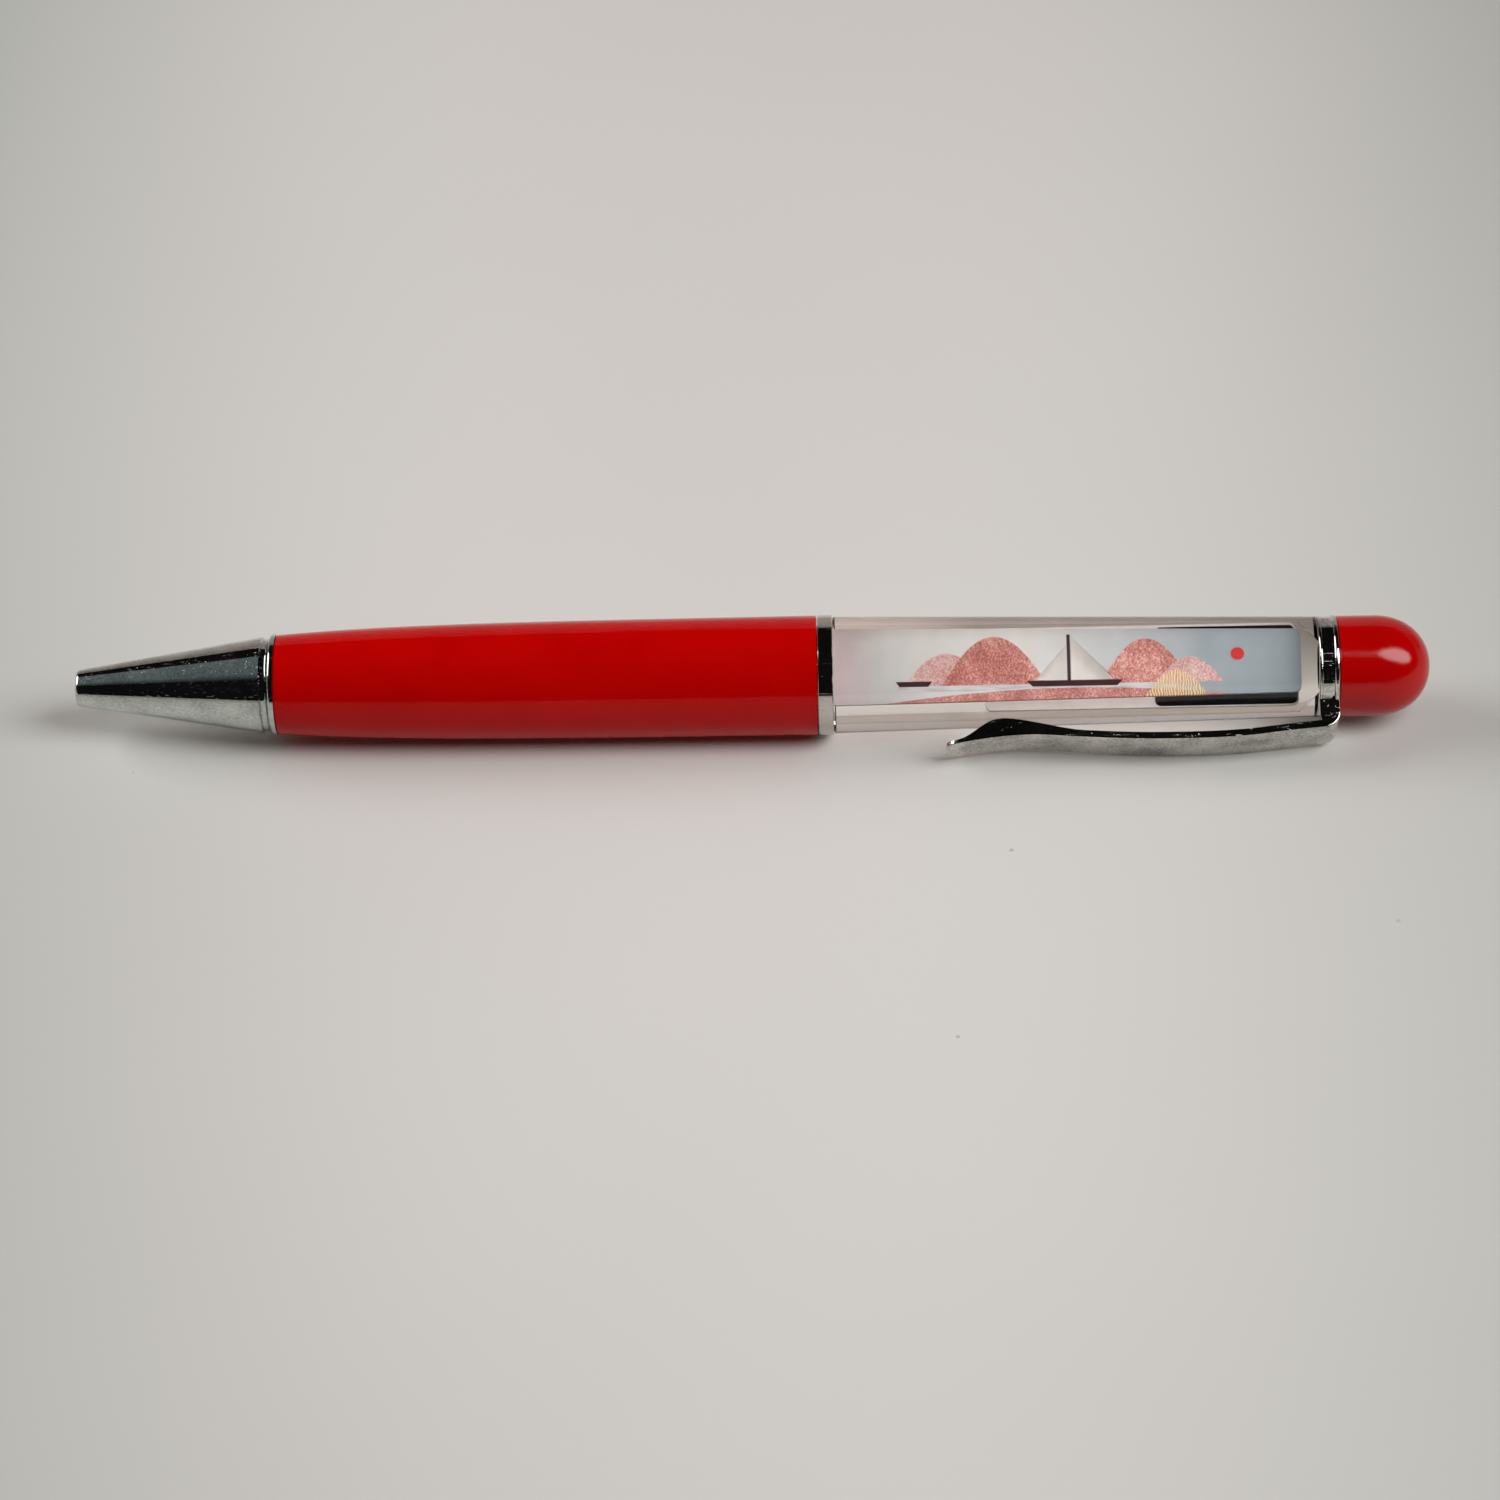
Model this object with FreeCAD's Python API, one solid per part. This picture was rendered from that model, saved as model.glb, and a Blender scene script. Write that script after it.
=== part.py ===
import FreeCAD, Part
import math
import os

# Floating-picture ballpoint pen with a twist action, lying on its side.
# X runs along the pen, with the writing end at -X and the cap at +X. Z is up.
# The origin is on the pen's axis, at the middle of the chrome centre ring.
# Sizes are in millimetres.

# Lengths along the pen
ring_length = 1.58
lower_barrel_length = 56.8
nose_bead_length = 1.3
nose_cone_length = 19.85
window_length = 50.55
clip_collar_length = 2.1
cap_length = 9.8

# Outer radii
ring_radius = 6.32
barrel_ring_step = 0.03
lower_barrel_front_radius = 5.23
nose_rear_radius = 5.05
nose_tip_radius = 1.95
nose_bead_radius = 5.32
window_front_radius = 6.13
window_rear_radius = 5.27
cap_radius = 5.3

# Clearances
turning_gap = 0.08
running_gap = 0.06
seat_gap = 0.02
float_gap = 0.06

# Swell of the lower barrel, as the two handles of its side curve
swell_front_reach = 13.0
swell_front_radius = 6.25
swell_rear_reach = 27.0
swell_rear_radius = 6.2

# Lower barrel
barrel_bore_radius = 4.0
barrel_joint_depth = 5.5
snap_groove_radius = 4.35
snap_groove_length = 1.9
barrel_edge = 0.12

# Nose cone
nose_edge_round = 0.45
nose_shoulder_round = 0.2
nose_groove_radius = 4.82
nose_groove_length = 0.35
nose_bead_land = 0.3
point_hole_radius = 1.25
spring_seat_depth = 4.3
spring_pocket_radius = 1.8
spring_pocket_length = 9.0
nose_spigot_length = 6.0
nose_spigot_wall = 0.8

# Clear barrel and its oil chamber
joint_spigot_radius = 5.2
joint_spigot_length = 5.2
plug_seat_radius = 3.9
plug_seat_depth = 0.4
chamber_front_radius = 3.5
chamber_rear_radius = 3.17
chamber_rear_margin = 1.74
chamber_cone_length = 2.9
chamber_end_radius = 1.16
cap_spigot_radius = 4.3
cap_spigot_length = 5.0
window_edge = 0.15

# Plug that closes the oil chamber
plug_stub_length = 3.0
plug_core_radius = 1.8
plug_core_wall = 1.9
seal_section_radius = 0.3
seal_setback = 2.4
seal_groove_length = 0.8

# Twist mechanism: cam sleeve, guide tube and refill carrier
twist_deg = 180.0
point_stroke = 5.0
cam_inner_radius = 2.9
cam_outer_radius = 3.9
cam_length = 15.9
cam_bead_radius = 4.2
cam_bead_length = 0.8
cam_bead_setback = 10.5
guide_wall = 0.7
guide_flange_length = 1.5
guide_floor = 1.0
guide_slot_front = 2.2
lug_radius = 0.75
lug_reach = 3.75
lug_setback = 6.2
carrier_radius = 2.0
carrier_length = 5.9
carrier_socket_depth = 4.0
carrier_front_overhang = 3.4

# Refill
refill_tube_radius = 1.5
refill_tube_bore = 0.95
refill_air_length = 7.0
point_radius = 1.15
point_cone_length = 2.7
point_lip_radius = 0.42
point_length = 14.5
point_drawn_in = 1.38
point_insert_length = 5.0
ball_radius = 0.35
ball_showing = 0.12
grease_length = 3.0

# Return spring
spring_wire_radius = 0.16
spring_mean_radius = 1.42
spring_turns = 7.0
wire_flats = 8

# Clip
clip_thickness = 0.78
clip_edge_round = 0.15
clip_root_half_width = 2.5
clip_tip_half_width = 2.0
clip_tip_round = 1.5
clip_tip_back = 41.05
clip_tip_lift = 8.98
clip_tip_thickness = 0.6
clip_neck_back = 32.15
clip_neck_lift = 8.02
clip_crown_back = 16.25
clip_crown_lift = 8.86
clip_shoulder_back = 4.2
clip_shoulder_lift = 8.05
clip_shoulder_drop = 0.09
clip_foot_back = 35.15
clip_foot_clearance = 0.25
clip_bend_round = 1.7
clip_bend_lead = 0.3
clip_root_overlap = 0.4
clip_root_lift = 0.6

# Handles of the clip's side curves, as reaches along the pen
clip_tip_reach = 3.2
clip_tip_dip = 0.5
clip_neck_front_reach = 3.5
clip_neck_rear_reach = 2.5
clip_neck_under_reach = 6.0
clip_crown_front_reach = 8.0
clip_crown_under_reach = 5.0
clip_crown_rear_reach = 7.0
clip_shoulder_reach = 4.0

# Underside of the clip's foot: steps back along the pen, and lifts above its lowest point
foot_heel_far = (4.2, 0.68)
foot_heel_near = (1.5, 0.12)
foot_toe_near = (-1.0, 0.18)
foot_toe_far = (-2.4, 1.0)

# Collar of the clip
collar_roll_length = 0.35
collar_band_radius = 5.22
collar_groove_radius = 5.08
collar_groove_length = 0.2
collar_bead_length = 0.55
collar_bead_radius = 5.4

# Cap
cap_straight_length = 3.95
cap_dome_fullness = 0.78
cap_socket_depth = 3.1
cap_hollow_radius = 3.5
cap_hollow_length = 3.6
cap_edge = 0.12

# Picture film and its printed layer, in the front half of the chamber
film_offset = 0.9
film_thickness = 0.15
print_thickness = 0.15
film_front_gap = 0.18
film_rear_gap = 0.4
film_corner = 0.7

# Printed scene: the two sails are left clear, so that the float shows through
sail_mast_from_plug = 25.0
mast_gap = 0.5
main_sail_length = 4.6
fore_sail_length = 3.4
sail_foot_height = -1.1
main_sail_rise = 3.3
fore_sail_rise = 2.6
sail_slope_back = 0.9

# Float strip behind the picture
float_offset = -0.45
float_thickness = 0.2
shade_thickness = 0.1
float_half_width = 2.95
float_corner = 0.8
float_travel = 16.0
shade_length = 15.0
shade_border = 0.12
float_end_gap = 0.2

# Stations along the pen that follow from the lengths
ring_front = -ring_length / 2
ring_back = ring_length / 2
lower_rear = ring_front - turning_gap
lower_barrel_rear_radius = ring_radius - barrel_ring_step
lower_front = lower_rear - lower_barrel_length
bead_front = lower_front - nose_bead_length
nose_tip = bead_front - nose_cone_length
window_rear = ring_back + window_length
collar_rear = window_rear + clip_collar_length
cap_end = collar_rear + cap_length
plug_face = plug_seat_depth
plug_front = ring_front - joint_spigot_length
chamber_rear = window_rear - chamber_rear_margin
chamber_length = chamber_rear - plug_face
chamber_end = chamber_rear + chamber_cone_length
cam_front = plug_front - cam_length
guide_front_face = cam_front - turning_gap
lug_x = plug_front - lug_setback
carrier_front = lug_x - carrier_front_overhang
refill_rear = carrier_front + carrier_socket_depth
point_tip = nose_tip + point_drawn_in
tube_front = point_tip + point_length
refill_tube_length = refill_rear - tube_front
ink_length = refill_tube_length - point_insert_length - grease_length - refill_air_length

AXIS = FreeCAD.Vector(1, 0, 0)
ORIGIN = FreeCAD.Vector(0, 0, 0)


def at(x, r):
    # a point of a side profile: x along the pen, r out from its axis
    return FreeCAD.Vector(x, 0, r)


def line(a, b):
    return Part.LineSegment(at(*a), at(*b)).toShape()


def arc(a, mid, b):
    return Part.Arc(at(*a), at(*mid), at(*b)).toShape()


def handled_curve(a, handle_a, handle_b, b):
    curve = Part.BezierCurve()
    curve.setPoles([at(*a), at(*handle_a), at(*handle_b), at(*b)])
    return curve.toShape()


def turned(edges):
    # turns a closed side profile round the pen's axis
    face = Part.Face(Part.Wire(edges))
    return face.revolve(ORIGIN, AXIS, 360)


def turned_through(points):
    # turns a closed profile of straight runs
    corners = [at(*p) for p in points]
    face = Part.Face(Part.makePolygon(corners + corners[:1]))
    return face.revolve(ORIGIN, AXIS, 360)


def rod(x_from, x_to, radius):
    start = FreeCAD.Vector(min(x_from, x_to), 0, 0)
    return Part.makeCylinder(radius, abs(x_to - x_from), start, AXIS)


def turn_about_pen(shape, degrees):
    moved = shape.copy()
    moved.rotate(ORIGIN, AXIS, degrees)
    return moved


def corner_arc(centre_x, centre_r, radius, from_deg, to_deg):
    points = []
    for angle in (from_deg, (from_deg + to_deg) / 2, to_deg):
        a = math.radians(angle)
        points.append((centre_x + radius * math.cos(a), centre_r + radius * math.sin(a)))
    return arc(*points)


# Lower barrel: a moulded red shell. It swells towards the ring, is bored through for the
# refill and mechanism, and opens wider at the rear for the clear barrel's spigot.
joint_bore_radius = joint_spigot_radius + turning_gap
joint_bore_front = lower_rear - barrel_joint_depth
snap_groove_x = plug_front - cam_bead_setback
lower_barrel = turned([
    line((lower_front, barrel_bore_radius), (lower_front, lower_barrel_front_radius - barrel_edge)),
    line((lower_front, lower_barrel_front_radius - barrel_edge),
         (lower_front + barrel_edge, lower_barrel_front_radius)),
    handled_curve((lower_front + barrel_edge, lower_barrel_front_radius),
                  (lower_front + swell_front_reach, swell_front_radius),
                  (lower_rear - swell_rear_reach, swell_rear_radius),
                  (lower_rear - barrel_edge, lower_barrel_rear_radius)),
    line((lower_rear - barrel_edge, lower_barrel_rear_radius),
         (lower_rear, lower_barrel_rear_radius - barrel_edge)),
    line((lower_rear, lower_barrel_rear_radius - barrel_edge), (lower_rear, joint_bore_radius)),
    line((lower_rear, joint_bore_radius), (joint_bore_front, joint_bore_radius)),
    line((joint_bore_front, joint_bore_radius), (joint_bore_front, barrel_bore_radius)),
    line((joint_bore_front, barrel_bore_radius), (lower_front, barrel_bore_radius)),
])
snap_groove = rod(snap_groove_x - snap_groove_length / 2,
                  snap_groove_x + snap_groove_length / 2, snap_groove_radius)
lower_barrel = lower_barrel.cut(snap_groove)

# Nose cone: a plated cone with a rounded tip, a fine groove and a flared bead behind it.
# Inside are the point's hole, the spring's seat and pocket, and a spigot for the barrel.
spigot_radius = barrel_bore_radius - seat_gap
spigot_bore = spigot_radius - nose_spigot_wall
spring_seat = nose_tip + spring_seat_depth
pocket_rear = spring_seat + spring_pocket_length
cone_rear = bead_front
bead_rear = lower_front
groove_rear = cone_rear + nose_groove_length
land_front = bead_rear - nose_bead_land
nose_cone = turned([
    line((nose_tip, point_hole_radius), (nose_tip, nose_tip_radius - nose_edge_round)),
    corner_arc(nose_tip + nose_edge_round, nose_tip_radius - nose_edge_round,
               nose_edge_round, 180, 90),
    line((nose_tip + nose_edge_round, nose_tip_radius),
         (cone_rear - nose_shoulder_round, nose_rear_radius)),
    line((cone_rear - nose_shoulder_round, nose_rear_radius),
         (cone_rear, nose_rear_radius - nose_shoulder_round)),
    line((cone_rear, nose_rear_radius - nose_shoulder_round), (cone_rear, nose_groove_radius)),
    line((cone_rear, nose_groove_radius), (groove_rear, nose_groove_radius)),
    handled_curve((groove_rear, nose_groove_radius),
                  ((groove_rear + land_front) / 2, nose_groove_radius),
                  ((groove_rear + land_front) / 2, nose_bead_radius),
                  (land_front, nose_bead_radius)),
    line((land_front, nose_bead_radius), (bead_rear, nose_bead_radius)),
    line((bead_rear, nose_bead_radius), (bead_rear, spigot_radius)),
    line((bead_rear, spigot_radius), (bead_rear + nose_spigot_length, spigot_radius)),
    line((bead_rear + nose_spigot_length, spigot_radius),
         (bead_rear + nose_spigot_length, spigot_bore)),
    line((bead_rear + nose_spigot_length, spigot_bore), (cone_rear, spigot_bore)),
    line((cone_rear, spigot_bore), (pocket_rear, spring_pocket_radius)),
    line((pocket_rear, spring_pocket_radius), (spring_seat, spring_pocket_radius)),
    line((spring_seat, spring_pocket_radius), (spring_seat, point_hole_radius)),
    line((spring_seat, point_hole_radius), (nose_tip, point_hole_radius)),
])

# Centre ring: a plain plated band on the clear barrel's spigot, with broken edges.
ring_edge = 0.08
ring_bore = joint_spigot_radius + seat_gap
centre_ring = turned_through([
    (ring_front, ring_bore),
    (ring_front, ring_radius - ring_edge),
    (ring_front + ring_edge, ring_radius),
    (ring_back - ring_edge, ring_radius),
    (ring_back, ring_radius - ring_edge),
    (ring_back, ring_bore),
])

# Clear barrel: thick moulded acrylic that tapers to the rear. The oil chamber is drawn in
# from the front and ends in a cone, and a spigot at each end carries what joins on there.
clear_outer = turned_through([
    (plug_front, 0),
    (plug_front, joint_spigot_radius),
    (ring_back, joint_spigot_radius),
    (ring_back, window_front_radius - window_edge),
    (ring_back + window_edge, window_front_radius),
    (window_rear, window_rear_radius),
    (window_rear, cap_spigot_radius),
    (window_rear + cap_spigot_length, cap_spigot_radius),
    (window_rear + cap_spigot_length, 0),
])
chamber = turned_through([
    (plug_face, 0),
    (plug_face, chamber_front_radius),
    (chamber_rear, chamber_rear_radius),
    (chamber_end, chamber_end_radius),
    (chamber_end, 0),
])
plug_seat = rod(plug_front, plug_face, plug_seat_radius)
clear_barrel = clear_outer.cut(plug_seat.fuse(chamber))

# Plug: closes the chamber against its shoulder. It has a groove for the seal and a stub
# in front for the cam sleeve, and is cored out from the front.
plug_radius = plug_seat_radius - seat_gap
stub_radius = cam_inner_radius - seat_gap
stub_front = plug_front - plug_stub_length
seal_x = plug_face - seal_setback
chamber_plug = turned_through([
    (plug_face, 0),
    (plug_face, plug_radius),
    (plug_front, plug_radius),
    (plug_front, stub_radius),
    (stub_front, stub_radius),
    (stub_front, plug_core_radius),
    (plug_face - plug_core_wall, plug_core_radius),
    (plug_face - plug_core_wall, 0),
])
seal_centre_radius = plug_radius - seal_section_radius
seal_groove = rod(seal_x - seal_groove_length / 2, seal_x + seal_groove_length / 2, plug_seat_radius)
seal_groove = seal_groove.cut(rod(seal_x - seal_groove_length, seal_x + seal_groove_length,
                                  plug_radius - 2 * seal_section_radius - seat_gap))
chamber_plug = chamber_plug.cut(seal_groove)
plug_seal = Part.makeTorus(seal_centre_radius, seal_section_radius,
                           FreeCAD.Vector(seal_x, 0, 0), AXIS)

# Cam sleeve: turns with the clear barrel. Two through slots wind half round it, and a snap
# bead outside holds the lower barrel on. The sleeve is pressed over the plug's stub.
cam_bead_x = plug_front - cam_bead_setback
cam_sleeve = turned_through([
    (plug_front, cam_inner_radius),
    (plug_front, cam_outer_radius),
    (cam_bead_x + cam_bead_length, cam_outer_radius),
    (cam_bead_x + cam_bead_length / 2, cam_bead_radius),
    (cam_bead_x - cam_bead_length / 2, cam_bead_radius),
    (cam_bead_x - cam_bead_length, cam_outer_radius),
    (cam_front, cam_outer_radius),
    (cam_front, cam_inner_radius),
])


def winding_slot(start_deg):
    # the path that a lug sweeps through the sleeve: a round end, the ramp, a round end
    slot_radius = lug_radius + running_gap
    mean_radius = (cam_inner_radius + cam_bead_radius) / 2
    lead = point_stroke * 360.0 / twist_deg
    slope = math.atan2(lead, 2 * math.pi * mean_radius)
    half = slot_radius / math.cos(slope)
    spine = Part.makeHelix(lead, point_stroke, mean_radius, 0, True)
    inner = cam_inner_radius - 0.4
    outer = cam_bead_radius + 0.4
    corners = [
        FreeCAD.Vector(inner, 0, -half),
        FreeCAD.Vector(outer, 0, -half),
        FreeCAD.Vector(outer, 0, half),
        FreeCAD.Vector(inner, 0, half),
    ]
    sweep = Part.BRepOffsetAPI.MakePipeShell(Part.Wire(spine.Edges))
    sweep.setFrenetMode(True)
    sweep.add(Part.makePolygon(corners + corners[:1]))
    sweep.build()
    sweep.makeSolid()
    ramp = sweep.shape()
    first = Part.makeCylinder(slot_radius, outer - inner, FreeCAD.Vector(inner, 0, 0),
                              FreeCAD.Vector(1, 0, 0))
    last = first.copy()
    last.rotate(ORIGIN, FreeCAD.Vector(0, 0, 1), -twist_deg)
    last.translate(FreeCAD.Vector(0, 0, point_stroke))
    slot = ramp.fuse([first, last])
    # the slot is drawn up local Z and laid along the pen, winding towards the nose
    slot.rotate(ORIGIN, FreeCAD.Vector(0, 1, 0), -90)
    slot.rotate(ORIGIN, AXIS, start_deg)
    slot.translate(FreeCAD.Vector(lug_x, 0, 0))
    return slot


for start in (0, 180):
    cam_sleeve = cam_sleeve.cut(winding_slot(start))

# Guide tube: pressed into the lower barrel by its flange. Two straight slots, open at the
# rear, make the carrier turn with the barrel and let it slide.
guide_bore = carrier_radius + running_gap
guide_outer = guide_bore + guide_wall
guide_flange_front = guide_front_face - guide_flange_length
guide_rear = stub_front - turning_gap
guide_tube = turned_through([
    (guide_flange_front, refill_tube_radius + running_gap),
    (guide_flange_front, barrel_bore_radius - seat_gap),
    (guide_front_face, barrel_bore_radius - seat_gap),
    (guide_front_face, guide_outer),
    (guide_rear, guide_outer),
    (guide_rear, guide_bore),
    (guide_front_face + guide_floor, guide_bore),
    (guide_front_face + guide_floor, refill_tube_radius + running_gap),
])
guide_slot_half = lug_radius + running_gap
guide_slot = Part.makeBox(guide_rear - guide_front_face - guide_slot_front + 1,
                          2 * guide_slot_half, 4 * cam_outer_radius,
                          FreeCAD.Vector(guide_front_face + guide_slot_front,
                                         -guide_slot_half, -2 * cam_outer_radius))
guide_tube = guide_tube.cut(guide_slot)

# Refill carrier: holds the refill's rear end in a socket. Its two lugs pass through the
# guide tube's straight slots into the cam sleeve's winding slots.
carrier_socket_radius = refill_tube_radius + seat_gap
refill_carrier = rod(carrier_front, carrier_front + carrier_length, carrier_radius)
lugs = Part.makeCylinder(lug_radius, 2 * lug_reach, FreeCAD.Vector(lug_x, 0, -lug_reach),
                         FreeCAD.Vector(0, 0, 1))
refill_carrier = refill_carrier.fuse(lugs)
refill_carrier = refill_carrier.cut(rod(carrier_front, refill_rear, carrier_socket_radius))
refill_carrier = refill_carrier.removeSplitter()

# Refill: a plastic tube of ink with a grease stopper behind it, and a brass point whose
# shank plugs into the tube and whose lip holds the writing ball.
refill_tube = rod(tube_front, refill_rear, refill_tube_radius)
refill_tube = refill_tube.cut(rod(tube_front, refill_rear, refill_tube_bore))
ball_x = point_tip + ball_radius
lip_x = point_tip + ball_showing
insert_radius = refill_tube_bore - seat_gap
insert_rear = tube_front + point_insert_length
refill_point = turned_through([
    (lip_x, 0),
    (lip_x, point_lip_radius),
    (lip_x + point_cone_length, point_radius),
    (tube_front, point_radius),
    (tube_front, insert_radius),
    (insert_rear, insert_radius),
    (insert_rear, 0),
])
ball_seat = Part.makeSphere(ball_radius + seat_gap, FreeCAD.Vector(ball_x, 0, 0))
refill_point = refill_point.cut(ball_seat)
writing_ball = Part.makeSphere(ball_radius, FreeCAD.Vector(ball_x, 0, 0))
ink_column = rod(insert_rear, insert_rear + ink_length, insert_radius)
ink_grease = rod(insert_rear + ink_length, insert_rear + ink_length + grease_length, insert_radius)

# Return spring: wound round the point between the nose cone's seat and the tube's end. The
# section of its wire has eight flats and stands square to the wire's rise.
spring_front = spring_seat + spring_wire_radius
spring_span = tube_front - spring_seat - 2 * spring_wire_radius
spring_pitch = spring_span / spring_turns
spring_path = Part.makeHelix(spring_pitch, spring_span, spring_mean_radius)
wire_rise = math.atan2(spring_pitch, 2 * math.pi * spring_mean_radius)
wire_corners = []
for flat in range(wire_flats):
    turn = 2 * math.pi * (flat + 0.5) / wire_flats
    across = spring_wire_radius * math.sin(turn)
    wire_corners.append(FreeCAD.Vector(spring_mean_radius + spring_wire_radius * math.cos(turn),
                                       -across * math.sin(wire_rise),
                                       across * math.cos(wire_rise)))
spring_sweep = Part.BRepOffsetAPI.MakePipeShell(Part.Wire(spring_path.Edges))
spring_sweep.setFrenetMode(True)
spring_sweep.add(Part.makePolygon(wire_corners + wire_corners[:1]))
spring_sweep.build()
spring_sweep.makeSolid()
return_spring = spring_sweep.shape()
return_spring.rotate(ORIGIN, FreeCAD.Vector(0, 1, 0), 90)
return_spring.translate(FreeCAD.Vector(spring_front, 0, 0))

# Clip: one plated casting. A collar with a rolled front edge and a rear bead sits on the
# clear barrel's rear spigot. From it the arm bends out, bows away from the barrel, comes
# back to a thick rounded foot and turns out again at the tip.
collar_bore = cap_spigot_radius + seat_gap
roll = collar_roll_length
groove_front = collar_rear - collar_bead_length - collar_groove_length
bead_start = collar_rear - collar_bead_length
collar = turned([
    line((window_rear, collar_bore), (window_rear, window_rear_radius - roll / 4)),
    arc((window_rear, window_rear_radius - roll / 4),
        (window_rear + roll / 2, window_rear_radius + roll / 8),
        (window_rear + roll, collar_band_radius)),
    line((window_rear + roll, collar_band_radius), (groove_front, collar_band_radius)),
    line((groove_front, collar_band_radius), (groove_front, collar_groove_radius)),
    line((groove_front, collar_groove_radius), (bead_start, collar_groove_radius)),
    line((bead_start, collar_groove_radius), (bead_start, collar_band_radius)),
    arc((bead_start, collar_band_radius),
        ((bead_start + collar_rear) / 2, collar_bead_radius),
        (collar_rear, collar_band_radius)),
    line((collar_rear, collar_band_radius), (collar_rear, collar_bore)),
    line((collar_rear, collar_bore), (window_rear, collar_bore)),
])


def barrel_radius_at(x):
    share = (x - ring_back) / window_length
    return window_front_radius + share * (window_rear_radius - window_front_radius)


def back_from_collar(distance):
    return collar_rear - distance


foot_x = back_from_collar(clip_foot_back)
foot_lift = barrel_radius_at(foot_x) + clip_foot_clearance
tip_x = back_from_collar(clip_tip_back)
neck_x = back_from_collar(clip_neck_back)
crown_x = back_from_collar(clip_crown_back)
shoulder_x = back_from_collar(clip_shoulder_back)
bend_x = collar_rear - clip_bend_round
bend_lift = clip_shoulder_lift - clip_shoulder_drop * (bend_x - shoulder_x)
bend_base = bend_lift - clip_bend_round
arm_root = collar_bore + clip_root_overlap


def arm_curves(depth):
    # the arm's side curves from the shoulder over the crown towards the neck, at a depth
    # below the outer face
    shoulder = (shoulder_x, clip_shoulder_lift - depth)
    shoulder_handle = (shoulder_x - clip_shoulder_reach,
                       shoulder[1] + clip_shoulder_reach * clip_shoulder_drop)
    crown = (crown_x, clip_crown_lift - depth)
    crown_handle = (crown_x + clip_crown_rear_reach, crown[1])
    return handled_curve(shoulder, shoulder_handle, crown_handle, crown), crown


rear_curve, crown_top = arm_curves(0)
inner_rear_curve, crown_under = arm_curves(clip_thickness)
under_neck = (neck_x + clip_neck_under_reach,
              (clip_neck_lift + clip_crown_lift) / 2 - clip_thickness)
under_bend = (bend_x - clip_bend_lead, bend_lift - clip_thickness)
tip_top = (tip_x, clip_tip_lift)
tip_under = (tip_x + 0.15, clip_tip_lift - clip_tip_thickness)
foot_curve = Part.BSplineCurve()
foot_curve.interpolate([
    at(*under_neck),
    at(foot_x + foot_heel_far[0], foot_lift + foot_heel_far[1]),
    at(foot_x + foot_heel_near[0], foot_lift + foot_heel_near[1]),
    at(foot_x, foot_lift),
    at(foot_x + foot_toe_near[0], foot_lift + foot_toe_near[1]),
    at(foot_x + foot_toe_far[0], foot_lift + foot_toe_far[1]),
    at(*tip_under),
])
arm_profile = Part.Wire([
    handled_curve(tip_top, (tip_x + clip_tip_reach, clip_tip_lift - clip_tip_dip),
                  (neck_x - clip_neck_front_reach, clip_neck_lift), (neck_x, clip_neck_lift)),
    handled_curve((neck_x, clip_neck_lift), (neck_x + clip_neck_rear_reach, clip_neck_lift),
                  (crown_x - clip_crown_front_reach, clip_crown_lift), crown_top),
    rear_curve,
    line((shoulder_x, clip_shoulder_lift), (bend_x, bend_lift)),
    corner_arc(bend_x, bend_base, clip_bend_round, 90, 0),
    line((collar_rear, bend_base), (collar_rear, arm_root)),
    line((collar_rear, arm_root), (window_rear, arm_root)),
    line((window_rear, arm_root), (window_rear, window_rear_radius + clip_root_lift)),
    handled_curve((window_rear, window_rear_radius + clip_root_lift),
                  (window_rear, under_bend[1] - 0.2),
                  (under_bend[0] + 0.1, under_bend[1]), under_bend),
    line(under_bend, (shoulder_x, clip_shoulder_lift - clip_thickness)),
    inner_rear_curve,
    handled_curve(crown_under, (crown_x - clip_crown_under_reach, crown_under[1]),
                  (under_neck[0] + 2, under_neck[1] + 0.16), under_neck),
    foot_curve.toShape(),
    line(tip_under, tip_top),
])
arm_side = Part.Face(arm_profile)
arm_side.translate(FreeCAD.Vector(0, -clip_root_half_width, 0))
arm_block = arm_side.extrude(FreeCAD.Vector(0, 2 * clip_root_half_width, 0))
# seen from outside, the arm narrows from the crown to a rounded tip
tip_inner = clip_tip_half_width - clip_tip_round
root = clip_root_half_width


def plan(x, y):
    return FreeCAD.Vector(x, y, 0)


k = clip_tip_round * math.sqrt(0.5)
tip_c = tip_x + clip_tip_round
arm_plan = Part.Face(Part.Wire([
    Part.LineSegment(plan(collar_rear + 1, -root), plan(crown_x, -root)).toShape(),
    Part.LineSegment(plan(crown_x, -root), plan(tip_c, -clip_tip_half_width)).toShape(),
    Part.Arc(plan(tip_c, -clip_tip_half_width), plan(tip_c - k, -tip_inner - k),
             plan(tip_x, -tip_inner)).toShape(),
    Part.LineSegment(plan(tip_x, -tip_inner), plan(tip_x, tip_inner)).toShape(),
    Part.Arc(plan(tip_x, tip_inner), plan(tip_c - k, tip_inner + k),
             plan(tip_c, clip_tip_half_width)).toShape(),
    Part.LineSegment(plan(tip_c, clip_tip_half_width), plan(crown_x, root)).toShape(),
    Part.LineSegment(plan(crown_x, root), plan(collar_rear + 1, root)).toShape(),
    Part.LineSegment(plan(collar_rear + 1, root), plan(collar_rear + 1, -root)).toShape(),
]))
arm_block = arm_block.common(arm_plan.extrude(FreeCAD.Vector(0, 0, 2 * clip_crown_lift)))
# the long edges of its outer face are rounded over
outer_lift = clip_neck_lift - clip_edge_round
long_edges = [e for e in arm_block.Edges
              if e.BoundBox.ZMin > outer_lift and e.BoundBox.XMax < bend_x + clip_edge_round
              and e.BoundBox.XLength > clip_tip_round]
arm_block = arm_block.makeFillet(clip_edge_round, long_edges)
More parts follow.
